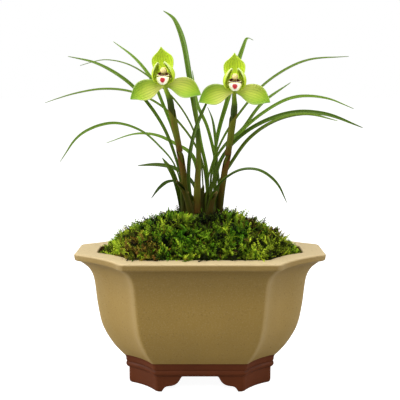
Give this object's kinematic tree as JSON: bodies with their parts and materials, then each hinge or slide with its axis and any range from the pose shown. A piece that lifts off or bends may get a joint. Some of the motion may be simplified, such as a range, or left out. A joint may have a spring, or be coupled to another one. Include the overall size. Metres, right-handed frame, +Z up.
{
  "type": "potted orchid",
  "caption": "Flowering spring orchid with arching grassy leaves and pale green blooms, growing from a mossy mound in a flared stoneware pot with cut corners and cloud-shaped feet.",
  "frame": {"origin": "middle of the pot's footprint, at the height it stands on", "axes": "+Z up; X runs along the pot's long side; the flowers face -Y"},
  "size_m": [0.2861, 0.1413, 0.33],
  "materials": {
    "pot": "satin sand-coloured glaze over red-brown unglazed clay",
    "drain_mesh": "matt",
    "drainage": "rough",
    "potting_mix": "rough",
    "moss": "feathery",
    "pseudobulb": "satin",
    "leaf": "satin",
    "sheath": "papery",
    "scape": "satin",
    "sepal": "satin",
    "petal": "satin",
    "lip": "satin",
    "column": "satin",
    "anther_cap": "satin"
  },
  "bodies": {
    "root": {"anther_cap_left": "anther_cap", "anther_cap_right": "anther_cap", "column_left": "column", "column_right": "column", "dorsal_sepal_left": "sepal", "dorsal_sepal_right": "sepal", "drain_mesh_left": "drain_mesh", "drain_mesh_right": "drain_mesh", "drainage_stones": "drainage", "leaf_back_arch": "leaf", "leaf_centre": "leaf", "leaf_cross": "leaf", "leaf_front_left": "leaf", "leaf_front_right": "leaf", "leaf_hook": "leaf", "leaf_left_back": "leaf", "leaf_left_droop": "leaf", "leaf_left_long": "leaf", "leaf_left_reach": "leaf", "leaf_left_thin": "leaf", "leaf_low_left": "leaf", "leaf_pale": "leaf", "leaf_right_arch": "leaf", "leaf_right_high": "leaf", "leaf_right_long": "leaf", "leaf_right_low": "leaf", "leaf_right_mid": "leaf", "leaf_short": "leaf", "leaf_slim": "leaf", "leaf_tall": "leaf", "lip_left": "lip", "lip_right": "lip", "moss_carpet": "moss", "petal_l_left": "petal", "petal_l_right": "petal", "petal_r_left": "petal", "petal_r_right": "petal", "pot": "pot", "potting_mix": "potting_mix", "pseudobulb_back": "pseudobulb", "pseudobulb_front": "pseudobulb", "pseudobulb_left": "pseudobulb", "pseudobulb_middle": "pseudobulb", "pseudobulb_right": "pseudobulb", "scape_left": "scape", "scape_right": "scape", "scape_sheath_high_left": "sheath", "scape_sheath_high_right": "sheath", "scape_sheath_low_left": "sheath", "scape_sheath_low_right": "sheath", "side_sepal_l_left": "sepal", "side_sepal_l_right": "sepal", "side_sepal_r_left": "sepal", "side_sepal_r_right": "sepal", "young_shoot": "sheath"}
  },
  "joints": []
}
